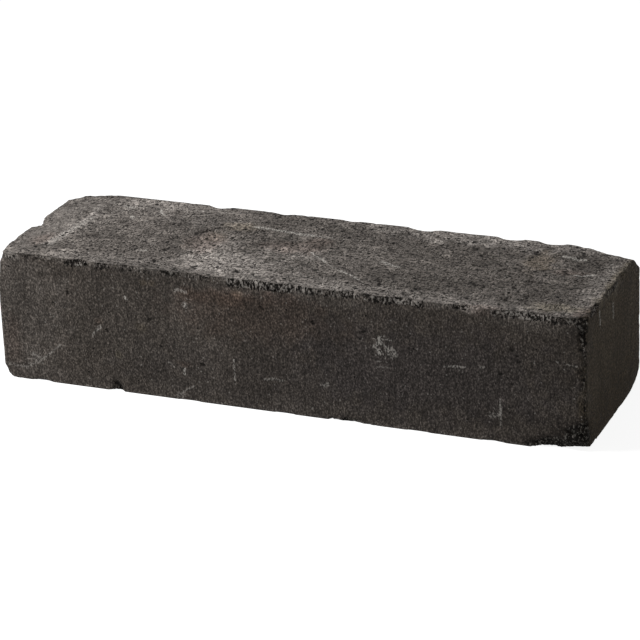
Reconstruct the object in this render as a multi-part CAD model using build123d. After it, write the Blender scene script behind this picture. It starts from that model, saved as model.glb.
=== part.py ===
"""Tumbled concrete garden wall block.

A solid block of semi-dry concrete is pressed in a steel mould, cured, and rolled in a drum with its
neighbours. The drum rubs every arris round, spalls shallow shell-shaped flakes off them and knocks the
corners off. The block lies on its bed face, as it does in a wall.

Millimetres. X runs along the length, left to right, Y from the front face to the back one, Z up.
The origin is the middle of the bed face.
"""

import os

from build123d import *

# The block as it leaves the mould
block_length = 450.0
block_depth = 130.0
block_height = 100.0

# Radius to which the drum rubs each kind of arris
long_arris_radius = 1.2
end_arris_radius = 2.5
upright_arris_radius = 3.0

# Shallow slope that the rubbing left on top of the left end: how far in its crest lies, and its fall
slope_crest_front = 24.0
slope_crest_back = 44.0
slope_fall = 3.4

# An ordinary flake, and how many of them an evenly worn arris has
flake_span = 22.0
flake_reach = 3.6
long_flake_count = 11
end_flake_count = 4
upright_flake_count = 3

# How much the flakes of an evenly worn arris differ, as shares of the ordinary size or spacing, and the
# share of the arris that they cover
place_sway = 0.6
span_sway = 0.7
reach_sway = 0.8
worn_share = 0.9

# A place on the block is given by three shares from -1 to 1: left to right, front to back, bed to top.
LEFT, RIGHT = -1, 1
FRONT, BACK = -1, 1
BED, TOP = -1, 1

# Steps that never repeat on one turn: the fractions of the golden ratio and of the root of two
GOLDEN_STEP = 0.618034
ROOT_TWO_STEP = 0.414214


def place(x_share, y_share, z_share):
    """The point at these shares of the moulded block."""
    return Vector(
        x_share * block_length / 2,
        y_share * block_depth / 2,
        (1 + z_share) * block_height / 2,
    )


def inward(axis, share):
    """The unit vector along an axis (0, 1 or 2) that points into the block from the face at this share."""
    step = [0.0, 0.0, 0.0]
    step[axis] = -share
    return Vector(*step)


def flake(shares, faces, span, reach_a, reach_b):
    """The ball that scoops one shell-shaped flake out of an arris.

    shares is the flake's middle on the arris, and faces the two axes that run in from it. The ball
    passes through the arris half a span to either side, reach_a in along the first of those axes, and
    reach_b in along the second.
    """
    half = span / 2
    shift_a = (reach_a**2 - half**2) / (2 * reach_a)
    shift_b = (reach_b**2 - half**2) / (2 * reach_b)
    into_a = inward(faces[0], shares[faces[0]]) * shift_a
    into_b = inward(faces[1], shares[faces[1]]) * shift_b
    ball_radius = (shift_a**2 + shift_b**2 + half**2) ** 0.5
    return Pos(*(place(*shares) + into_a + into_b)) * Sphere(ball_radius)


def sliced(block, a, b, c):
    """The block without what lies outside the plane through three points."""
    normal = (b - a).cross(c - a).normalized()
    outside_in = (Vector(0, 0, block_height / 2) - a).dot(normal) > 0
    keep = Keep.TOP if outside_in else Keep.BOTTOM
    return split(block, bisect_by=Plane(origin=a, x_dir=b - a, z_dir=normal), keep=keep)


def knocked(block, shares, reach):
    """The block with one corner knocked off: reach says how far along X, Y and Z the break starts."""
    corner = place(*shares)
    a, b, c = (corner + inward(axis, shares[axis]) * reach[axis] for axis in range(3))
    return sliced(block, a, b, c)


def rounded_bar(plane, across, up, radius, run):
    """A bar through the middle of the block, normal to the plane, with its four long edges rounded."""
    middle = Plane(origin=(0, 0, block_height / 2), x_dir=plane.x_dir, z_dir=plane.z_dir)
    return extrude(middle * RectangleRounded(across, up, radius), run / 2, both=True)


def rubbed_block():
    """The moulded block with every arris rubbed round: what three rounded bars, one each way, share."""
    lengthways = rounded_bar(Plane.YZ, block_depth, block_height, long_arris_radius, block_length)
    crossways = rounded_bar(Plane.XZ, block_length, block_height, end_arris_radius, block_depth)
    upright = rounded_bar(Plane.XY, block_length, block_depth, upright_arris_radius, block_height)
    return lengthways & crossways & upright


def sloped(block):
    """The block with the rubbed slope on top of its left end."""
    on_front = place(LEFT, FRONT, TOP) + Vector(slope_crest_front, 0, 0)
    on_back = place(LEFT, BACK, TOP) + Vector(slope_crest_back, 0, 0)
    on_end = place(LEFT, 0, TOP) - Vector(0, 0, slope_fall)
    return sliced(block, on_front, on_back, on_end)


# Corners, with how far each break reaches along X, Y and Z
CORNER_KNOCKS = (
    ((LEFT, FRONT, TOP), (13, 11, 11)),
    ((LEFT, BACK, TOP), (16, 17, 10)),
    ((RIGHT, FRONT, TOP), (12, 9, 12)),
    ((RIGHT, BACK, TOP), (46, 16, 12)),
    ((LEFT, FRONT, BED), (8, 7, 13)),
    ((LEFT, BACK, BED), (12, 13, 10)),
    ((RIGHT, FRONT, BED), (40, 11, 11)),
    ((RIGHT, BACK, BED), (6, 6, 6)),
)

# Flakes of the arrises that were struck rather than evenly worn. Each has its middle's share along the
# arris, its span, and its reach in along the two other axes, in X, Y, Z order.
FRONT_TOP_FLAKES = (
    # share, span, across the top, down the front
    (-0.83, 26, 2, 5),
    (-0.69, 20, 2.5, 7),
    (-0.50, 32, 2, 5),
    (-0.29, 24, 1.5, 6),
    (-0.08, 26, 2.5, 8),
    (0.04, 24, 2.5, 9),
    (0.25, 30, 2.5, 7),
    (0.41, 26, 2.5, 8),
    (0.61, 28, 3, 6),
    (0.82, 46, 3.5, 8),
)
BACK_TOP_FLAKES = (
    # share, span, across the top, down the back
    (-0.45, 22, 4, 3),
    (-0.22, 18, 2.5, 2.5),
    (0.02, 18, 2, 2),
    (0.27, 28, 4, 3),
    (0.57, 24, 4, 3),
    (0.71, 26, 4, 3),
    (0.83, 18, 3, 3),
)
FRONT_BED_FLAKES = (
    # share, span, across the bed, up the front
    (-0.86, 20, 2.5, 3),
    (-0.59, 14, 3, 5),
    (-0.33, 22, 1.5, 3),
    (0.0, 20, 1.5, 2.5),
    (0.23, 34, 2.5, 4),
    (0.45, 24, 1.5, 2.5),
    (0.70, 22, 2, 3),
    (0.89, 32, 6, 12),
)
LEFT_TOP_FLAKES = (
    # share, span, across the top, down the end
    (-0.55, 24, 4, 4),
    (0.05, 22, 10, 9),
    (0.55, 26, 4, 4),
)
RIGHT_TOP_FLAKES = (
    # share, span, across the top, down the end
    (-0.62, 22, 3, 5),
    (-0.15, 20, 2, 4),
    (0.30, 18, 3, 4),
)
FRONT_RIGHT_FLAKES = (
    # share, span, across the front, across the end
    (-0.78, 30, 8, 4),
    (-0.31, 15, 3.5, 3),
    (0.04, 20, 5, 3),
    (0.38, 16, 4, 2.5),
    (0.74, 26, 7, 4),
)


def evenly_worn(count, wear, phase):
    """The flakes of an evenly worn arris, whose places and sizes sway in steps that never repeat.

    wear scales the ordinary reach, and phase shifts the pattern, so that no two arrises are alike.
    """
    flakes = []
    for number in range(count):
        sway = (phase + number * GOLDEN_STEP) % 1 - 0.5
        other_sway = (phase + number * ROOT_TWO_STEP) % 1 - 0.5
        share = worn_share * (2 * (number + 0.5 + place_sway * sway) / count - 1)
        span = flake_span * (1 + span_sway * other_sway)
        reach_a = flake_reach * wear * (1 + reach_sway * sway)
        reach_b = flake_reach * wear * (1 - reach_sway * other_sway)
        flakes.append((share, span, reach_a, reach_b))
    return flakes


# Each arris: the axis that it runs along, its two sides in X, Y, Z order, and its flakes
ARRISES = (
    ("X", (FRONT, TOP), FRONT_TOP_FLAKES),
    ("X", (BACK, TOP), BACK_TOP_FLAKES),
    ("X", (FRONT, BED), FRONT_BED_FLAKES),
    ("X", (BACK, BED), evenly_worn(long_flake_count, 1.0, 0.13)),
    ("Y", (LEFT, TOP), LEFT_TOP_FLAKES),
    ("Y", (RIGHT, TOP), RIGHT_TOP_FLAKES),
    ("Y", (LEFT, BED), evenly_worn(end_flake_count, 1.0, 0.71)),
    ("Y", (RIGHT, BED), evenly_worn(end_flake_count, 0.5, 0.29)),
    ("Z", (LEFT, FRONT), evenly_worn(upright_flake_count, 0.6, 0.58)),
    ("Z", (LEFT, BACK), evenly_worn(upright_flake_count, 1.2, 0.05)),
    ("Z", (RIGHT, FRONT), FRONT_RIGHT_FLAKES),
    ("Z", (RIGHT, BACK), evenly_worn(upright_flake_count, 0.6, 0.83)),
)


def all_flakes():
    """Every ball that scoops a flake, arris by arris."""
    balls = []
    for direction, sides, flakes in ARRISES:
        along = "XYZ".index(direction)
        faces = [axis for axis in range(3) if axis != along]
        for share, span, reach_a, reach_b in flakes:
            shares = [0.0, 0.0, 0.0]
            shares[along] = share
            shares[faces[0]], shares[faces[1]] = sides
            balls.append(flake(shares, faces, span, reach_a, reach_b))
    return balls


def wall_block():
    """The whole block, one solid."""
    block = sloped(rubbed_block())
    for shares, reach in CORNER_KNOCKS:
        block = knocked(block, shares, reach)
    return block - all_flakes()


os.makedirs("parts", exist_ok=True)
export_step(wall_block(), "parts/wall_block.step")
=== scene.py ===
"""The looks of a tumbled concrete garden wall block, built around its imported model.

Millimetres are used for the block's own sizes and turned into metres where a mesh, a node or a lamp
takes them. X runs along the length, left to right, Y from the front face to the back one, Z up.
"""

import bpy
import numpy as np
from mathutils import Matrix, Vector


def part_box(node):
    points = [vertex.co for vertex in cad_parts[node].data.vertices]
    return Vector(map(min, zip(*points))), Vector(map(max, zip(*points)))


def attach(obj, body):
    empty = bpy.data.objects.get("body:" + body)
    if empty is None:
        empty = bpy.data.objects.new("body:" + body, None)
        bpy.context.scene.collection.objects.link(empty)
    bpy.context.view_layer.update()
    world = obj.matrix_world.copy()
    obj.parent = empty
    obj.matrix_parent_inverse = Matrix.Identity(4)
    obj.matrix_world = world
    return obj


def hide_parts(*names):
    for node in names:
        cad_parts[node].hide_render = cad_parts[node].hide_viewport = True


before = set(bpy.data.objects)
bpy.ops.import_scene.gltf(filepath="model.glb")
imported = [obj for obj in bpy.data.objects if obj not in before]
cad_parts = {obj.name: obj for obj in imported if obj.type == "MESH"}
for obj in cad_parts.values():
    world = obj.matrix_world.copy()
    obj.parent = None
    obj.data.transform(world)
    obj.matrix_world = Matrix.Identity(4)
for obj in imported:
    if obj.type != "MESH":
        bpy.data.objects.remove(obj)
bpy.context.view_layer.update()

# Wall block: its surface
# One solid lump of charcoal concrete, pressed nearly dry in a steel mould. The drum in which it was
# tumbled rubbed its arrises, and left them crumbling where the grains had bonded least.
MM = 0.001
block_low, block_high = (np.array(corner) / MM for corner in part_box("wall_block"))
block_middle = (block_low + block_high) / 2
block_half = (block_high - block_low) / 2
grid_cells = np.array([324, 78, 57])
grid_crowding = np.array([0.0, 0.4, 0.45])
core_depth = 22.0
start_reach = 40.0


def side_grids(cells):
    """The points and quads of six grids, one for each side of a box of cells, joined along its edges.

    A side holds one of the three counting numbers at 0 or at its last value, while the other two run.
    Points with the same three numbers are one point, so the skin is closed.
    """
    strides = np.array([(cells[1] + 1) * (cells[2] + 1), cells[2] + 1, 1])
    quads = []
    for held in range(3):
        first, second = (held + 1) % 3, (held + 2) % 3
        rows, columns = np.meshgrid(np.arange(cells[first] + 1), np.arange(cells[second] + 1), indexing="ij")
        for value in (0, cells[held]):
            keys = value * strides[held] + rows * strides[first] + columns * strides[second]
            around = [keys[:-1, :-1], keys[1:, :-1], keys[1:, 1:], keys[:-1, 1:]]
            if value == 0:
                around.reverse()
            quads.append(np.stack(around, axis=-1).reshape(-1, 4))
    keys, corners = np.unique(np.concatenate(quads), return_inverse=True)
    counts = np.stack([keys // strides[0], keys % strides[0] // strides[1], keys % strides[1]], axis=1)
    return counts, corners.reshape(-1, 4)


def fanned_start(counts):
    """Where each grid point starts, well outside the block, on its own ray out of a core box.

    A count is turned into a share from -1 to 1, and share + k sin(pi share) / pi crowds the lines near
    the arrises. The ray runs from the nearest point of the core through that place on the sharp box.
    """
    share = 2 * counts / grid_cells - 1
    crowded = share + grid_crowding * np.sin(np.pi * share) / np.pi
    on_box = block_middle + block_half * crowded
    inner = block_half - core_depth
    in_core = block_middle + np.clip(on_box - block_middle, -inner, inner)
    ray = on_box - in_core
    return in_core + start_reach * ray / np.linalg.norm(ray, axis=1, keepdims=True)


def new_skin(name, points, quads):
    """A mesh object through these points, given in millimetres."""
    mesh = bpy.data.meshes.new(name)
    mesh.from_pydata((points * MM).tolist(), [], quads.tolist())
    skin = bpy.data.objects.new(name, mesh)
    bpy.context.scene.collection.objects.link(skin)
    return skin


def points_of(mesh):
    """A mesh's points and their normals, in millimetres, as two arrays."""
    points = np.empty(len(mesh.vertices) * 3)
    normals = np.empty(len(mesh.vertices) * 3)
    mesh.vertices.foreach_get("co", points)
    mesh.vertex_normals.foreach_get("vector", normals)
    return points.reshape(-1, 3) / MM, normals.reshape(-1, 3)


def pressed_onto(skin, solid):
    """The skin's points and normals once each point has slid in along its ray to the solid."""
    press = skin.modifiers.new("press", "SHRINKWRAP")
    press.target = solid
    press.wrap_method = "PROJECT"
    press.use_negative_direction = True
    press.use_positive_direction = False
    pressed = skin.evaluated_get(bpy.context.evaluated_depsgraph_get()).data
    result = points_of(pressed)
    skin.modifiers.remove(press)
    return result


grid_counts, grid_quads = side_grids(grid_cells)
block = new_skin("tumbled_block", fanned_start(grid_counts), grid_quads)
base_points, base_normals = pressed_onto(block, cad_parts["wall_block"])

# Three turned axes, so that no noise lines up with the faces
turn = np.linalg.qr(np.array([[1.0, 0.4, 0.3], [-0.5, 1.0, 0.6], [0.2, -0.7, 1.0]]))[0]


def smooth_step(values, start, end):
    """0 up to start, 1 from end on, and 3 t^2 - 2 t^3 in between."""
    share = np.clip((values - start) / (end - start), 0, 1)
    return share * share * (3 - 2 * share)


def lumps(points, size, seed, octaves=1):
    """Gradient noise, about -1 to 1, with lumps of this size, plus finer ones at half size and height.

    Each corner of a lattice holds a random direction. A point blends the eight slopes of its corners.
    """
    table = np.random.default_rng(seed).normal(size=(32, 32, 32, 3))
    spots = points @ turn / size
    cells = np.floor(spots).astype(int)
    part = spots - cells
    fade = part**3 * (part * (part * 6 - 15) + 10)
    total = np.zeros(len(points))
    for corner in np.ndindex(2, 2, 2):
        slope = table[tuple(((cells + corner) % 32).T)]
        weight = np.where(np.array(corner), fade, 1 - fade).prod(axis=1)
        total += weight * ((part - corner) * slope).sum(axis=1)
    if octaves > 1:
        total += 0.5 * lumps(points, size / 2, seed + 1, octaves - 1)
    return total


def bowls(points, spacing, seed):
    """How deep each point lies in the nearest of many little bowls, 0 to 1.

    Every cube of a lattice holds one bowl at a random place, with a radius of 0.1 to 0.6 of the spacing.
    Its depth is radius times 1 - (distance / radius)^2.
    """
    rng = np.random.default_rng(seed)
    places = rng.random((16, 16, 16, 3))
    radii = 0.1 + 0.5 * rng.random((16, 16, 16)) ** 2
    spots = points @ turn / spacing
    cells = np.floor(spots).astype(int)
    deepest = np.zeros(len(points))
    for step in np.ndindex(3, 3, 3):
        neighbour = cells + step - 1
        key = tuple((neighbour % 16).T)
        gap = np.linalg.norm(spots - neighbour - places[key], axis=1)
        deepest = np.maximum(deepest, radii[key] - gap**2 / radii[key])
    return deepest / 0.6


# How far each point lies in from the sharp box: 0 on a face, and the second least is how near an arris is
inset = np.sort(block_half - np.abs(base_points - block_middle), axis=1)
depth_in, arris_distance = inset[:, 0], inset[:, 1]
x, y, z = base_points.T
on_top = smooth_step(base_normals[:, 2], 0.55, 0.9)
on_bed = smooth_step(-base_normals[:, 2], 0.55, 0.9)
on_side = 1 - on_top - on_bed
arris_band = np.exp(-((arris_distance / 4.0) ** 2))
broken = smooth_step(depth_in, 0.8, 2.0) * (1 - on_top)


def stretches(along, table):
    """The strength at each point of an arris, from a table of from, to and strength, softened at the ends."""
    strength = np.zeros(len(along))
    for start, end, amount in table:
        inside = smooth_step(along, start - 3, start + 3) * (1 - smooth_step(along, end - 3, end + 3))
        strength = np.maximum(strength, amount * inside)
    return strength


def line_distance(points, path):
    """How far each point lies from a line through a few places: the least distance to its straight runs."""
    nearest = np.full(len(points), np.inf)
    for start, end in zip(np.array(path[:-1], float), np.array(path[1:], float)):
        run = end - start
        share = np.clip((points - start) @ run / (run @ run), 0, 1)
        nearest = np.minimum(nearest, np.linalg.norm(points - start - share[:, None] * run, axis=1))
    return nearest


# Where arrises crumble. The front top and front bed ones run along X, the front right one along Z:
# from, to, strength
FRONT_TOP_CRUMBLE = (
    (-224, -206, 0.9),
    (-204, -174, 0.7),
    (-170, -150, 1.0),
    (-146, -132, 1.0),
    (-128, -98, 0.8),
    (-96, -48, 0.75),
    (-42, 10, 1.25),
    (12, 60, 0.95),
    (62, 110, 1.0),
    (114, 150, 0.65),
    (154, 224, 1.0),
)
FRONT_BED_CRUMBLE = (
    (-224, -212, 0.8),
    (-137, -129, 1.0),
    (33, 70, 1.0),
    (184, 224, 1.0),
)
FRONT_RIGHT_CRUMBLE = (
    (-2, 24, 1.1),
    (24, 50, 0.55),
    (50, 68, 0.6),
    (72, 100, 0.75),
)
# Where a corner broke away: the middle, and the reach each way. The break sinks into the skin, and its
# hollows are painted near black with shade.
BROKEN_CORNERS = (
    ((221, -65, 9), (13, 9, 12)),
    ((202, -65, 1), (18, 8, 5)),
    ((224, -64, 96), (4, 4, 5)),
)
front_side = smooth_step(-y, 58, 62)
bed_rim = np.exp(-((z / 3.2) ** 2)) * front_side
right_top_rim = np.exp(-(((x - 224.5) / 3) ** 2) - ((z - 98.5) / 3.5) ** 2)
right_rim = np.exp(-(((x - 223.0) / 3.4) ** 2)) * smooth_step(-y, 57, 62)
patchy = smooth_step(lumps(base_points, 22.0, 11), -0.1, 0.6)
crumble = arris_band * (0.12 + 0.45 * patchy) * (1 - front_side) + 0.5 * broken
top_crumble = stretches(x, FRONT_TOP_CRUMBLE)
top_rim = (1 - smooth_step(100 - z, 1 + 3 * top_crumble, 3 + 5 * top_crumble)) * front_side
crumble += top_rim * top_crumble * (0.9 + 0.35 * patchy) + bed_rim * stretches(x, FRONT_BED_CRUMBLE)
crumble += right_rim * stretches(z, FRONT_RIGHT_CRUMBLE) + right_top_rim * (0.4 + 0.6 * patchy)
broken_corner = np.zeros(len(base_points))
for centre, reach in BROKEN_CORNERS:
    broken_corner += 1.6 * np.exp(-(((base_points - centre) / reach) ** 2).sum(axis=1))
crumble = np.clip((crumble + 1.2 * broken_corner) * (1 - 0.6 * on_top), 0, 1)

# The worn ridge along the crest of the left end's slope
RIDGE = (
    (-194, -42, 100),
    (-191, -26, 100),
    (-190, -8, 100),
    (-186, 12, 100),
    (-188, 28, 100),
    (-192, 41, 99),
)
ridge = np.exp(-((line_distance(base_points, RIDGE) / 3.5) ** 2))

# A thin skin came off the top: its edge follows a rounded oblong, and is lost towards the right and front
bare_middle_x, bare_middle_y, bare_reach_x, bare_reach_y = -10, -5, 82, 37
bare_reach = (((x - bare_middle_x) / bare_reach_x) ** 4 + ((y - bare_middle_y) / bare_reach_y) ** 4) ** 0.25
bare_reach += 0.035 * lumps(base_points, 11.0, 71, octaves=2)
bare_share = on_top * (1 - smooth_step(x, -30, 30)) * smooth_step(y, -45, -15)
bare = (1 - smooth_step(bare_reach, 0.95, 0.99)) * bare_share
bare_edge = np.exp(-(((bare_reach - 1.0) / 0.06) ** 2)) * (1 - smooth_step(x, -86, -72)) * bare_share

# Relief: how many millimetres each kind stands up or sinks
top_swell = 0.4
side_swell = 0.15
ripple_height = 0.4
chip_height = 0.7
lost_skin = 0.8
ridge_height = 0.5
arris_lift = 0.6
# Where a corner is worn rounder than its neighbours: the middle, the reach each way, and the depth
ROUNDED_CORNERS = (
    ((-226, -65, 94), (9, 11, 16), 2.4),
    ((-225, -55, 99), (7, 8, 6), 1.2),
    ((225, 65, 0), (10, 18, 8), 2.4),
    ((223, -62, 0), (8, 8, 6), 1.5),
)
swell = top_swell * lumps(base_points, 60.0, 21) * on_top
swell += side_swell * lumps(base_points, 50.0, 23) * on_side
trowelled = base_points * np.array([0.6, 1.0, 1.0])
ripple = ripple_height * on_top * lumps(trowelled, 7.0, 25, octaves=2)
sand = (0.08 + 0.1 * on_top) * lumps(base_points, 4.0, 31)
rough_break = crumble * chip_height * lumps(base_points, 4.0, 41, octaves=2)
pit_depth = crumble * (1.4 + 1.4 * (1 - on_top)) * bowls(base_points, 4.6, 51)
pit_depth += (1.1 * on_top + 0.25 * on_side) * bowls(base_points, 8.0, 61)
pit_depth += 0.8 * bare_edge * bowls(base_points, 5.0, 63)
sunk = pit_depth + swell + ripple + sand + rough_break + lost_skin * bare
sunk -= ridge_height * ridge + arris_lift * arris_band
for centre, reach, depth in ROUNDED_CORNERS:
    sunk += depth * np.exp(-(((base_points - centre) / reach) ** 2).sum(axis=1))
# Painted shade: how much the pits, rough breaks and broken corners are painted near black, 0 to 1
hollow_shade = np.clip(pit_depth / 1.8 + 0.4 * rough_break + broken_corner * (1 - on_top), 0, 1)

# Scratches, chalk, lime and pale grains: start, end, half width and strength
PALE_STROKES = (
    ((-2, -1, 100), (7, -8, 100), 1.5, 0.6),
    ((7, -8, 100), (16.5, -17.5, 100), 1.5, 0.65),
    ((20, -21, 100), (27, -26, 100), 1.1, 0.25),
    ((30, -28, 100), (44, -36, 100), 1.3, 0.55),
    ((44, -36, 100), (51, -41, 100), 1.4, 0.5),
    ((-60, 33.5, 100), (-50, 32.5, 100), 2.6, 0.6),
    ((-50, 32.5, 100), (-33, 31, 100), 2.0, 0.45),
    ((-33, 31, 100), (-12, 29.5, 100), 2.2, 0.5),
    ((-12, 29.5, 100), (3, 29, 100), 1.8, 0.3),
    ((-193, -40, 99.5), (-190.5, -22, 99.5), 3.4, 0.24),
    ((-190.5, -20, 99.5), (-188.5, -4, 99.5), 3.2, 0.3),
    ((-188, -2, 99.5), (-186, 14, 99.5), 3.6, 0.26),
    ((-142, 45.5, 100), (-139.5, 40, 100), 1.4, 0.8),
    ((-139.5, 40, 100), (-134.5, 36.5, 100), 1.6, 0.6),
    ((-158, 27, 100), (-156.5, 25.5, 100), 2.4, 0.6),
    ((-172, 46, 100), (-165, 44, 100), 3.0, 0.4),
    ((-122, -34, 100), (-119, -33.5, 100), 2.2, 0.55),
    ((54, -4, 100), (60, -6.5, 100), 2.4, 0.5),
    ((60, -9, 100), (69, -10.5, 100), 2.2, 0.5),
    ((191, 9.5, 100), (207, 14, 100), 1.5, 1.0),
    ((176, 42, 100), (191, 39.5, 100), 3.0, 0.6),
    ((-38, -65, 37), (-38, -65, 21), 1.0, 0.7),
    ((163, -65, 33), (163, -65, 27), 1.1, 0.5),
    ((163, -65, 27), (163, -65, 19), 1.6, 0.7),
    ((163, -65, 19), (163.3, -65, 12), 1.2, 0.4),
    ((156, -65, 20), (159, -65, 20.5), 2.6, 0.45),
    ((-200, -65, 20.5), (-196, -65, 18), 3.0, 0.45),
    ((-193.5, -65, 16.5), (-177, -65, 31), 1.1, 0.5),
    ((-205, -65, 10.5), (-194, -65, 17), 2.0, 0.4),
    ((-222, -65, 11), (-206, -65, 9.5), 1.8, 0.3),
    ((-14.5, -65, 24.6), (-12, -65, 24.9), 1.4, 0.45),
    ((-9, -65, 25.8), (-6.5, -65, 25.9), 1.5, 0.5),
    ((-3, -65, 25.4), (0, -65, 25.5), 1.3, 0.45),
    ((30.5, -65, 26), (34, -65, 27.4), 2.2, 0.5),
    ((121, -65, 52.6), (128, -65, 53.3), 1.0, 0.45),
    ((129, -65, 53.4), (132, -65, 53.6), 1.3, 0.75),
    ((134.5, -65, 53.6), (138, -65, 54.2), 1.0, 0.55),
    ((149, -65, 55.6), (151.5, -65, 55.9), 1.2, 0.4),
    ((211.5, -65, 65.6), (213.5, -65, 65.4), 1.1, 0.4),
    ((217, -65, 64.8), (218.5, -65, 64.9), 1.0, 0.5),
    ((204, -65, 66.5), (205, -65, 66.4), 1.3, 0.6),
    ((74.0, -65, 68.5), (74.6, -65, 64.5), 1.5, 0.9),
    ((70.2, -65, 61.0), (73.6, -65, 64.0), 1.5, 0.8),
    ((73.2, -65, 58.5), (74.2, -65, 56.0), 1.6, 0.9),
    ((76.8, -65, 64.5), (80.0, -65, 60.0), 1.5, 0.7),
    ((79.0, -65, 60.5), (83.0, -65, 55.0), 1.7, 0.85),
    ((82.5, -65, 56.0), (86.0, -65, 56.2), 2.2, 1.0),
    ((83.5, -65, 62.5), (86.5, -65, 58.0), 1.3, 0.55),
    ((76.0, -65, 69.5), (79.5, -65, 69.8), 1.1, 0.45),
    ((71.0, -65, 45.8), (81.0, -65, 46.4), 0.9, 0.3),
    ((-121.4, -65, 75.2), (-121, -65, 74.6), 1.6, 1.0),
    ((-74.6, -65, 76), (-74.2, -65, 73.5), 2.2, 1.0),
    ((-149.5, -65, 43), (-146, -65, 47), 1.3, 0.75),
    ((-146, -65, 47), (-143.5, -65, 49.5), 2.1, 0.65),
    ((-77.6, -65, 24.8), (-77.7, -65, 20.6), 1.3, 0.9),
    ((-91, -65, 29), (-85.5, -65, 25.4), 0.9, 0.35),
    ((-82, -65, 4.5), (-71, -65, 12), 1.0, 0.45),
    ((-83.5, -65, 3.6), (-80.5, -65, 3), 2.2, 0.35),
    ((-81.5, -65, 86), (-80.5, -65, 86.4), 2.0, 0.5),
    ((-76.5, -65, 86), (-73, -65, 85.6), 2.0, 0.5),
    ((225, -33, 93), (225, -32, 84), 2.4, 0.95),
    ((225, -1, 86), (225, 0, 77), 2.6, 0.8),
)

# Open pores: start, end, half width and strength. They sink the skin and are painted near black with shade;
# the six from (-76, 27.5) to (-91, 1) run along the left rim of the sunken bare skin, where they paint shade
# on its wall.
OPEN_PORES = (
    ((-168, -65, 74), (-168, -65, 72.5), 1.5, 0.9),
    ((-138, -65, 47.5), (-137.5, -65, 46.5), 1.5, 0.8),
    ((-104.5, -65, 59.5), (-102.5, -65, 60), 1.5, 0.9),
    ((-64, -65, 29.5), (-62, -65, 29.8), 1.8, 0.9),
    ((-15.5, -65, 80.5), (-13.5, -65, 79), 1.4, 0.8),
    ((24, -65, 74), (25, -65, 73), 1.6, 0.9),
    ((62, -65, 71), (63.5, -65, 71.2), 1.4, 0.9),
    ((176, -65, 63), (177.5, -65, 62.8), 1.5, 0.8),
    ((163, -65, 52), (164, -65, 52), 1.5, 0.9),
    ((171.5, -65, 46), (172.5, -65, 45.6), 1.3, 0.7),
    ((172, -65, 71), (173, -65, 71.5), 1.5, 0.8),
    ((-133, -65, 5.5), (-131, -65, 3), 3.2, 1.0),
    ((-106, -47, 100), (-103, -51, 100), 1.8, 0.9),
    ((-173.5, -17, 100), (-172.5, -17.5, 100), 2.0, 0.9),
    ((-39, -50, 100), (-37, -51, 100), 2.6, 0.9),
    ((26.5, -16, 100), (27.5, -16.5, 100), 1.8, 0.9),
    ((-17, -18, 100), (-15, -19, 100), 2.0, 0.9),
    ((51, 21, 100), (55, 18, 100), 3.0, 0.6),
    ((118, 29, 100), (120, 27, 100), 2.4, 0.9),
    ((154, 44, 100), (156, 42, 100), 2.8, 0.9),
    ((186.5, 54, 100), (187.5, 52, 100), 2.2, 0.9),
    ((87, -25.5, 100), (87.5, -26.5, 100), 1.8, 0.9),
    ((66, -38, 100), (68, -45, 100), 2.2, 0.8),
    ((160, -21.5, 100), (160.5, -23, 100), 2.2, 0.9),
    ((130, -22, 100), (133, -27, 100), 2.0, 0.8),
    ((137.5, 15, 100), (138.5, 13, 100), 2.0, 0.8),
    ((183, 13, 100), (192, 10.5, 100), 2.0, 0.7),
    ((-76, 27.5, 100), (-79, 26.5, 100), 1.6, 0.8),
    ((-83, 25, 100), (-86, 23, 100), 1.9, 0.85),
    ((-89, 20, 100), (-91, 17, 100), 1.8, 0.8),
    ((-93.5, 14, 100), (-94.5, 12, 100), 1.6, 0.8),
    ((-97, 10, 100), (-96, 7, 100), 2.0, 0.85),
    ((-92, 3, 100), (-91, 1, 100), 1.6, 0.6),
    ((161, -45, 100), (163, -46.5, 100), 2.0, 0.8),
)


def nearest_strokes(table):
    """Each point's place by its nearest stroke, the gap from there to its rim, and the stroke's strength.

    The place is how far along and across it the point lies from its middle, and half its length, all in
    half widths. These run straight from point to point, so the material can draw a finer stroke from them
    than the mesh could hold. The strength fades out past the stroke's rim.
    """
    place = np.full((len(base_points), 3), 99.0)
    strength_here = np.zeros(len(base_points))
    least = np.full(len(base_points), np.inf)
    for start, end, half_width, strength in table:
        middle, run = (np.array(start) + end) / 2, np.array(end, float) - start
        half_length = np.linalg.norm(run) / 2
        ahead = run / (2 * half_length)
        outward = np.round((middle - block_middle) / block_half * 0.51)
        offset = base_points - middle
        along, across = offset @ ahead, offset @ np.cross(outward, ahead)
        gap = np.hypot(np.maximum(np.abs(along) - half_length, 0), across) - half_width
        gap += np.where(np.abs(offset @ outward) < 4, 0, np.inf)
        nearer = gap < least
        shares = np.stack([along, across, np.full(len(along), half_length)], axis=1) / half_width
        place[nearer] = shares[nearer]
        strength_here[nearer] = strength * (1 - smooth_step(gap[nearer], 2.5, 4.5))
        least = np.minimum(least, gap)
    return place, least, strength_here


pale_place, _, pale_strength = nearest_strokes(PALE_STROKES)
pore_place, pore_gap, pore_strength = nearest_strokes(OPEN_PORES)

sunk += 1.1 * pore_strength * (1 - smooth_step(pore_gap, -1.5, 0.8))
skin_points = base_points - base_normals * sunk[:, None]
skin_points = np.clip(skin_points, block_low, block_high)
block.data.vertices.foreach_set("co", (skin_points * MM).ravel())
block.data.shade_smooth()
block.data.update()
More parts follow.
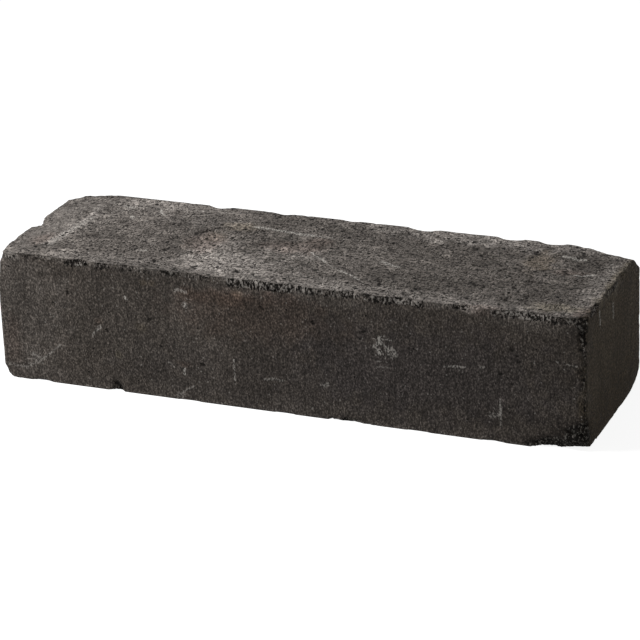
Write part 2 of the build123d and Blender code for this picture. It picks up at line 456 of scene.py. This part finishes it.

# Where pale dust lies, or is missing, and where the front's left end is painted paler with light: the middle
# of each patch, its reach each way, and its strength
DUST_AND_LIGHT_PATCHES = (
    ((-212, 0, 98), (24, 74, 12), 0.25),
    ((-214, -50, 98), (16, 22, 8), 0.18),
    ((-210, 44, 98), (20, 20, 8), 0.14),
    ((-182, 20, 99), (20, 44, 8), 0.12),
    ((-150, 56, 98), (66, 14, 8), 0.45),
    ((-170, 42, 100), (20, 9, 8), 0.2),
    ((-100, 33, 100), (50, 14, 8), 0.18),
    ((-42, -36, 100), (62, 26, 8), 0.43),
    ((-74, -4, 100), (22, 26, 8), 0.3),
    ((-10, -4, 100), (34, 18, 8), 0.34),
    ((10, -63, 100), (84, 6, 6), 0.25),
    ((0, -55, 100), (90, 14, 8), 0.32),
    ((-120, -56, 100), (90, 14, 8), 0.22),
    ((130, -56, 100), (100, 14, 8), 0.22),
    ((130, -62, 100), (60, 7, 6), 0.22),
    ((216, -4, 98), (13, 62, 10), 0.4),
    ((200, -54, 99), (36, 16, 8), 0.2),
    ((120, 61, 98), (125, 20, 8), 0.85),
    ((-120, 4, 100), (34, 38, 8), -0.06),
    ((-174, -38, 100), (17, 17, 8), -0.05),
    ((112, 0, 100), (84, 52, 8), -0.07),
    ((196, 34, 100), (24, 18, 8), -0.04),
    # Front: paler towards the left end, partly dust and partly painted light falling from the left
    ((-235, -65, 50), (80, 10, 90), 0.12),
    ((-110, -65, 55), (70, 10, 60), 0.05),
    ((-60, -65, 2), (330, 10, 14), 0.04),
    ((225, -8, 84), (8, 26, 14), 0.07),
    ((225, 42, 70), (8, 16, 26), 0.04),
    ((0, -65, 91), (100, 6, 6), 0.07),
    ((190, -65, 93), (50, 6, 7), 0.08),
)

# Stains, and painted shade at the foot of the right end: the middle of each, its reach each way, and what it
# multiplies the colour by
BRICK = (1.05, 0.985, 0.965)
RUST = (1.06, 0.98, 0.94)
TAN = (1.38, 1.33, 1.22)
SLATE = (0.87, 0.885, 0.955)
EARTH = (0.98, 0.935, 0.785)
FAINT_TAN = (1.12, 1.1, 1.06)
SANDY = (1.2, 1.14, 1.04)
OCHRE = (1.15, 1.13, 1.02)
CREAM = (1.85, 1.8, 1.72)
LINEN = (1.2, 1.18, 1.1)
OLIVE = (1.2, 1.2, 1.08)
COOL = (0.98, 0.99, 1.02)
# Painted shade for the foot of the right end
END_FOOT_SHADE = (0.72, 0.69, 0.64)
STAINS_AND_SHADE = (
    ((-84, -4, 100), (18, 26, 8), BRICK),
    ((-18, 5, 100), (34, 14, 8), BRICK),
    ((-6, 20, 100), (14, 10, 8), BRICK),
    ((188, 14, 100), (14, 8, 8), BRICK),
    ((150, -64, 99), (18, 6, 6), BRICK),
    ((220, -52, 98), (9, 14, 8), BRICK),
    ((-204, -32, 98), (11, 16, 8), BRICK),
    ((-46, -65, 84), (44, 6, 8), RUST),
    ((2, -65, 89), (24, 6, 6), BRICK),
    ((-20, -65, 72), (80, 6, 24), BRICK),
    ((-216, -65, 30), (10, 6, 28), BRICK),
    ((-144.5, -65, 54), (4, 5, 3.5), RUST),
    ((-78, -65, 28.5), (10, 6, 2.5), RUST),
    ((-71, 31, 100), (17, 9, 8), TAN),
    ((-80, 10, 100), (10, 14, 8), FAINT_TAN),
    ((162, 28, 100), (13, 24, 8), SANDY),
    ((196, -50, 100), (24, 11, 8), OCHRE),
    ((-31.5, -65, 88.3), (5.5, 5, 5), CREAM),
    ((-106.5, -65, 89), (3.4, 4, 3), TAN),
    ((-99.5, -65, 89.3), (4, 4, 2.6), TAN),
    ((-110.5, -65, 53.5), (6, 5, 5), LINEN),
    ((-129, -65, 29.5), (4, 5, 3.4), OLIVE),
    ((110, -65, 46), (130, 8, 46), SLATE),
    ((-20, -65, 24), (130, 8, 30), COOL),
    ((225, 0, 50), (8, 110, 90), EARTH),
    # Painted shade: the right end darker towards its foot
    ((225, 0, 0), (8, 120, 48), END_FOOT_SHADE),
)
wander = 0.3 * np.stack([lumps(base_points, 9.0, seed, octaves=2) for seed in (81, 83, 85)], axis=1)


def patch(centre, reach):
    """A soft ragged patch: 1 within 0.4 of its reach, and 0 past 1.1 of it."""
    return 1 - smooth_step(np.linalg.norm((base_points - centre) / reach + wander, axis=1), 0.4, 1.1)


def keep_on_points(name, kind, key, values):
    """Stores numbers or colours at the points of the block, for its material to read."""
    store = block.data.attributes.new(name, kind, "POINT")
    store.data.foreach_set(key, values.astype(np.float32).ravel())


lying_dust_and_light = 0.32 * on_top + 0.9 * on_top * ridge
for centre, reach, strength in DUST_AND_LIGHT_PATCHES:
    lying_dust_and_light += strength * patch(centre, reach)
stain_and_shade = np.ones((len(base_points), 4))
for centre, reach, tint in STAINS_AND_SHADE:
    stain_and_shade[:, :3] *= 1 + patch(centre, reach)[:, None] * (np.array(tint) - 1)

# The drum smeared the slope of the left end smooth
smear = patch((-215, 0, 98), (26, 84, 14)) * on_top

for name, values in (
    ("lying_dust_and_light", lying_dust_and_light),
    ("smear", smear),
    ("hollow_shade", hollow_shade),
    ("crumble", crumble),
    ("side", on_side + on_bed),
    ("rim", np.exp(-((arris_distance / 2.4) ** 2))),
    ("pale_strength", pale_strength),
    ("pore_strength", pore_strength),
):
    keep_on_points(name, "FLOAT", "value", np.clip(values, 0, 1))
keep_on_points("stain_and_shade", "FLOAT_COLOR", "color", stain_and_shade)
keep_on_points("pale_place", "FLOAT_VECTOR", "vector", pale_place)
keep_on_points("pore_place", "FLOAT_VECTOR", "vector", pore_place)
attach(block, "root")
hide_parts("wall_block")

# Wall block: its concrete
# Charcoal pigment colours the whole mix. The mould dragged fine upright lines down the sides, dust and
# lime lie on the top and the rims, and neighbours in the drum left scratches, chalk and brick dust.
charcoal = (0.0548, 0.0463, 0.0394, 1)
dust_and_light_colour = (0.276, 0.250, 0.229, 1)
# Near black, painted as shade into pores, pits, folds and hollows
shade_black = (0.003, 0.0025, 0.002, 1)
lime = (0.52, 0.49, 0.45, 1)

concrete = bpy.data.materials.new("charcoal_concrete")
concrete.use_nodes = True
tree = concrete.node_tree
tree.nodes.clear()


def put(tree, kind, inputs=(), **settings):
    """Adds a node. Inputs are pairs of a socket's name or number, and a value or the socket to join to it."""
    node = tree.nodes.new(kind)
    for name, value in settings.items():
        setattr(node, name, value)
    for key, value in inputs:
        if isinstance(value, bpy.types.NodeSocket):
            tree.links.new(value, node.inputs[key])
        else:
            node.inputs[key].default_value = value
    return node


def reckon(tree, operation, *values, clamp=False):
    """A Math node's result."""
    return put(tree, "ShaderNodeMath", enumerate(values), operation=operation, use_clamp=clamp).outputs[0]


def between(tree, value, low, high, to_low=0.0, to_high=1.0):
    """A value spread smoothly from low..high to to_low..to_high."""
    inputs = (
        ("Value", value),
        ("From Min", low),
        ("From Max", high),
        ("To Min", to_low),
        ("To Max", to_high),
    )
    return put(tree, "ShaderNodeMapRange", inputs, interpolation_type="SMOOTHSTEP").outputs["Result"]


def swing(tree, noise, ratio):
    """A tone that noise swings about 1: ratio to the power of noise - 0.5."""
    return reckon(tree, "POWER", ratio, reckon(tree, "SUBTRACT", noise, 0.5))


def either(tree, share, one, other):
    """A number that goes from one to the other with the share."""
    return reckon(tree, "MULTIPLY_ADD", share, reckon(tree, "SUBTRACT", other, one), one)


def blend(tree, share, one, other, kind="MIX"):
    """One colour blended into another by a share."""
    mix = put(tree, "ShaderNodeMix", (("Factor", share),), data_type="RGBA", blend_type=kind)
    for socket, colour in ((mix.inputs[6], one), (mix.inputs[7], other)):
        if isinstance(colour, bpy.types.NodeSocket):
            tree.links.new(colour, socket)
        else:
            socket.default_value = colour
    return mix.outputs[2]


def scaled(tree, where, scale):
    """Places stretched along X, Y and Z, where a scale under 1 draws a pattern out."""
    return put(tree, "ShaderNodeMapping", (("Vector", where), ("Scale", scale))).outputs["Vector"]


def cloud(tree, where, scale, detail=2.0, roughness=0.5):
    """Noise, 0 to 1, with this many lumps to the metre."""
    inputs = (("Vector", where), ("Scale", scale), ("Detail", detail), ("Roughness", roughness))
    return put(tree, "ShaderNodeTexNoise", inputs).outputs["Fac"]


def on_points(tree, name, output="Fac"):
    """The number or colour that the mesh keeps at its points under this name."""
    return put(tree, "ShaderNodeAttribute", attribute_name=name).outputs[output]


def crumbs(tree, where, scale):
    """Small cells, this many to the metre: each one's random number, and the distance to its middle."""
    node = put(tree, "ShaderNodeTexVoronoi", (("Vector", where), ("Scale", scale)))
    number = put(tree, "ShaderNodeSeparateColor", (("Color", node.outputs["Color"]),)).outputs[0]
    return number, node.outputs["Distance"]


def hole(tree, gap, reach):
    """The mask of a round spot: 1 at its middle and 0 past its reach."""
    reach = reckon(tree, "MAXIMUM", reach, 0.01)
    return between(tree, gap, reckon(tree, "MULTIPLY", reach, 0.75), reach, 1.0, 0.0)


where = put(tree, "ShaderNodeTexCoord").outputs["Object"]
side_here, crumble_here = on_points(tree, "side"), on_points(tree, "crumble")

# Sand: fine and drawn down on the moulded sides, with coarser grain across the two ends, and coarser and
# drawn along on the trowelled top
side_sand = cloud(tree, scaled(tree, where, (1, 0.65, 0.6)), 1050, 1, 0.6)
top_sand = cloud(tree, scaled(tree, where, (1, 0.65, 1)), 560, 2, 0.75)
streaks = cloud(tree, scaled(tree, where, (0.4, 1, 1)), 400, 1, 0.6)
mottle = cloud(tree, where, 110, 2, 0.6)
drag_lines = cloud(tree, scaled(tree, where, (1, 0.65, 0.06)), 520, 1, 0.6)
weather = cloud(tree, where, 26, 4, 0.6)
side_tone = reckon(tree, "MULTIPLY", swing(tree, side_sand, 70.0), swing(tree, drag_lines, 2.6))
top_tone = reckon(tree, "MULTIPLY", between(tree, top_sand, 0.33, 0.57, 0.15, 1.55), swing(tree, mottle, 9.0))
top_tone = reckon(tree, "MULTIPLY", top_tone, between(tree, streaks, 0.34, 0.5, 0.55, 1.05))
smeared = reckon(tree, "MULTIPLY", on_points(tree, "smear"), 0.5)
top_tone = either(tree, smeared, top_tone, 0.75)
tone = either(tree, side_here, top_tone, side_tone)
tone = reckon(tree, "MULTIPLY", tone, swing(tree, weather, 2.6))

# Dust, thickest where the weather let it lie, and caught by the rough rims. Towards the front's left end it
# is partly painted light.
rim_share = reckon(tree, "MULTIPLY", on_points(tree, "rim"), between(tree, top_sand, 0.4, 0.65, 0.0, 0.4))
weathered = between(tree, weather, 0.2, 0.8, 0.7, 1.3)
dust_and_light_share = reckon(tree, "MULTIPLY", on_points(tree, "lying_dust_and_light"), weathered)
colour = blend(tree, reckon(tree, "MAXIMUM", dust_and_light_share, rim_share), charcoal, dust_and_light_colour)
colour = blend(tree, 1.0, colour, on_points(tree, "stain_and_shade", "Color"), "MULTIPLY")
grey = put(tree, "ShaderNodeCombineColor", enumerate([tone] * 3)).outputs[0]
colour = blend(tree, 1.0, colour, grey, "MULTIPLY")

# Strokes: each is a rounded bar, whose rim the noise shakes so that it looks drawn by no hand
shake = cloud(tree, where, 700, 1)


def strokes(name):
    """The mask of the strokes kept on the points under this name.

    The gap is sqrt(max(|along| - half length, 0)^2 + across^2), in half widths, plus the shake.
    """
    here = put(tree, "ShaderNodeSeparateXYZ", ((0, on_points(tree, name + "_place", "Vector")),)).outputs
    beyond = reckon(tree, "SUBTRACT", reckon(tree, "ABSOLUTE", here[0]), here[2])
    beyond = reckon(tree, "MAXIMUM", beyond, 0.0)
    sides = put(tree, "ShaderNodeCombineXYZ", ((0, beyond), (1, here[1]))).outputs[0]
    gap = put(tree, "ShaderNodeVectorMath", ((0, sides),), operation="LENGTH").outputs["Value"]
    gap = reckon(tree, "MULTIPLY_ADD", reckon(tree, "SUBTRACT", shake, 0.5), 1.6, gap)
    inside = between(tree, gap, 0.3, 1.0, 1.0, 0.0)
    return reckon(tree, "MULTIPLY", inside, on_points(tree, name + "_strength"))


marks = reckon(tree, "MULTIPLY", strokes("pale"), between(tree, side_sand, 0.4, 0.58, 0.1, 1.15))
marks = reckon(tree, "MULTIPLY", marks, either(tree, side_here, 1.4, 0.66), clamp=True)
colour = blend(tree, marks, colour, lime)

# Grains that stand pale, pores that gape, and thin folds that the trowel left on the top. Pores and folds
# sink in the relief and are painted near black with shade.
open_below = either(tree, side_here, -0.25, -0.42)
wide_number, wide_gap = crumbs(tree, where, 200)
wide_pores = hole(tree, wide_gap, reckon(tree, "MULTIPLY_ADD", wide_number, 0.6, open_below))
fine_number, fine_gap = crumbs(tree, where, 420)
fine_pores = hole(tree, fine_gap, reckon(tree, "MULTIPLY_ADD", fine_number, 0.6, open_below))
grains = hole(tree, fine_gap, reckon(tree, "MULTIPLY_ADD", fine_number, -2.0, 0.34))
folds = cloud(tree, scaled(tree, where, (1, 0.8, 1)), 150, 1)
folds = between(tree, reckon(tree, "ABSOLUTE", reckon(tree, "SUBTRACT", folds, 0.5)), 0.0, 0.03, 0.8, 0.0)
folds = reckon(tree, "MULTIPLY", folds, between(tree, mottle, 0.42, 0.55))
folds = reckon(tree, "MULTIPLY", folds, reckon(tree, "SUBTRACT", 1.0, side_here))

# Crumbled arrises: the more they crumble, the more of the noise is pits, painted near black with shade, and
# the more is standing grains
crumb_noise = cloud(tree, scaled(tree, where, (1, 1, 0.6)), 700, 2, 0.6)
sound = reckon(tree, "SUBTRACT", 1.0, crumble_here)
crumb_pits = between(tree, reckon(tree, "MULTIPLY_ADD", sound, 0.25, crumb_noise), 0.465, 0.505, 1.0, 0.0)
crumb_grains = between(tree, reckon(tree, "MULTIPLY_ADD", sound, -0.3, crumb_noise), 0.53, 0.59, 0.0, 0.34)
pale_grains = reckon(tree, "MULTIPLY", grains, either(tree, side_here, 0.5, 0.26))
colour = blend(tree, reckon(tree, "MAXIMUM", pale_grains, crumb_grains), colour, lime)

# Painted shade: pores, crumbled pits, the hollows kept on the mesh, open pores and folds turn the colour near
# black, and the hollows less so where grains stand
shaded_pits = reckon(tree, "MAXIMUM", reckon(tree, "MAXIMUM", wide_pores, fine_pores), crumb_pits)
lit_share = reckon(tree, "MULTIPLY_ADD", crumb_grains, -1.6, 0.85)
shaded_pits = reckon(tree, "MAXIMUM", shaded_pits, reckon(tree, "MULTIPLY", on_points(tree, "hollow_shade"), lit_share))
shaded_pits = reckon(tree, "MAXIMUM", reckon(tree, "MAXIMUM", shaded_pits, strokes("pore")), folds)
colour = blend(tree, reckon(tree, "MULTIPLY", shaded_pits, 0.96), colour, shade_black)

# Relief in millimetres: the sand stands up, and pores sink
top_relief = reckon(tree, "MULTIPLY", top_sand, 2.6)
side_relief = reckon(tree, "MULTIPLY", side_sand, 0.5)
sand_relief = either(tree, side_here, top_relief, side_relief)
height = reckon(tree, "MULTIPLY_ADD", shaded_pits, -0.8, sand_relief)
relief = put(tree, "ShaderNodeBump", (("Strength", 1.0), ("Distance", MM), ("Height", height)))
stone = put(tree, "ShaderNodeBsdfPrincipled", (("Base Color", colour), ("Normal", relief.outputs[0])))
stone.inputs["Roughness"].default_value = 0.92
stone.inputs["Specular IOR Level"].default_value = 0.12
put(tree, "ShaderNodeOutputMaterial", (("Surface", stone.outputs[0]),))
block.data.materials.append(concrete)

# Floor
# A plain pale sheet. It shows white to the camera, and keeps a faint shadow of the block.
floor_half = 4.0
shown_white = 0.88
lit_grey = (0.5, 0.5, 0.5, 1)
shadow_grey = (0.34, 0.34, 0.34, 1)
floor_paper = bpy.data.materials.new("floor_paper")
floor_paper.use_nodes = True
paper_tree = floor_paper.node_tree
paper_tree.nodes.clear()
light_path = put(paper_tree, "ShaderNodeLightPath").outputs
seen = reckon(paper_tree, "MAXIMUM", light_path["Is Camera Ray"], light_path["Is Glossy Ray"])
seen = reckon(paper_tree, "MAXIMUM", seen, light_path["Is Transmission Ray"])
plain = put(paper_tree, "ShaderNodeBsdfDiffuse", (("Color", lit_grey),)).outputs[0]
shaded = put(paper_tree, "ShaderNodeBsdfDiffuse", (("Color", shadow_grey),)).outputs[0]
glow = put(paper_tree, "ShaderNodeEmission", (("Strength", shown_white),)).outputs[0]
lifted = put(paper_tree, "ShaderNodeAddShader", ((0, shaded), (1, glow))).outputs[0]
paper = put(paper_tree, "ShaderNodeMixShader", ((0, seen), (1, plain), (2, lifted))).outputs[0]
put(paper_tree, "ShaderNodeOutputMaterial", (("Surface", paper),))
floor_corners = np.array([(-1, -1, 0), (1, -1, 0), (1, 1, 0), (-1, 1, 0)]) * floor_half / MM
floor = new_skin("floor", floor_corners, np.array([[0, 1, 2, 3]]))
floor.data.materials.append(floor_paper)

# Light
# One wide soft lamp above the front left, and an even pale room around it.
lamp_place = np.array([-0.65, -0.38, 0.9])
lamp_target = np.array([0.0, 0.0, 0.05])
lamp_data = bpy.data.lights.new("soft_lamp", "AREA")
lamp_data.shape = "DISK"
lamp_data.size = 0.36
lamp_data.energy = 12
lamp = bpy.data.objects.new("soft_lamp", lamp_data)
bpy.context.scene.collection.objects.link(lamp)


def facing(place, back, up_hint):
    """The matrix of a lamp or camera at a place, with its back and its upward direction given."""
    back = back / np.linalg.norm(back)
    right = np.cross(up_hint, back)
    right = right / np.linalg.norm(right)
    matrix = np.identity(4)
    matrix[:3] = np.stack([right, np.cross(back, right), back, place], axis=1)
    return Matrix(matrix.tolist())


lamp.matrix_world = facing(lamp_place, lamp_place - lamp_target, (0, 0, 1))

room_light = 0.24
world = bpy.data.worlds.new("pale_room")
world.use_nodes = True
room = world.node_tree
room.nodes.clear()
room_path = put(room, "ShaderNodeLightPath").outputs
room_seen = reckon(room, "MAXIMUM", room_path["Is Camera Ray"], room_path["Is Glossy Ray"])
room_seen = reckon(room, "MAXIMUM", room_seen, room_path["Is Transmission Ray"])
room_strength = between(room, room_seen, 0, 1, room_light, 1.0)
air = put(room, "ShaderNodeBackground", (("Color", (1, 1, 1, 1)), ("Strength", room_strength)))
put(room, "ShaderNodeOutputWorld", (("Surface", air.outputs[0]),))
bpy.context.scene.world = world

# Camera
# Found from the lines of the block's own edges in the photograph, which is 640 pixels wide.
camera_turn = 22.919
camera_rise = 22.878
camera_roll = -2.355
camera_distance = 2203.0
camera_slide_right = 0.72
camera_slide_up = 42.55
focal_pixels = 3000
photo_pixels = 640
sensor_width = 36.0

turn_angle, rise_angle, roll_angle = np.radians([camera_turn, camera_rise, camera_roll])
camera_back = np.array([
    np.sin(turn_angle) * np.cos(rise_angle),
    -np.cos(turn_angle) * np.cos(rise_angle),
    np.sin(rise_angle),
])
level_right = np.array([np.cos(turn_angle), np.sin(turn_angle), 0.0])
level_up = np.cross(camera_back, level_right)
camera_right = level_right * np.cos(roll_angle) + level_up * np.sin(roll_angle)
camera_up = level_up * np.cos(roll_angle) - level_right * np.sin(roll_angle)
camera_place = camera_back * camera_distance + camera_right * camera_slide_right + camera_up * camera_slide_up
camera_data = bpy.data.cameras.new("camera")
camera_data.sensor_width = sensor_width
camera_data.lens = sensor_width * focal_pixels / photo_pixels
camera = bpy.data.objects.new("camera", camera_data)
bpy.context.scene.collection.objects.link(camera)
camera.matrix_world = facing(camera_place * MM, camera_back, camera_up)
bpy.context.scene.camera = camera

bpy.context.scene.view_settings.view_transform = "Standard"
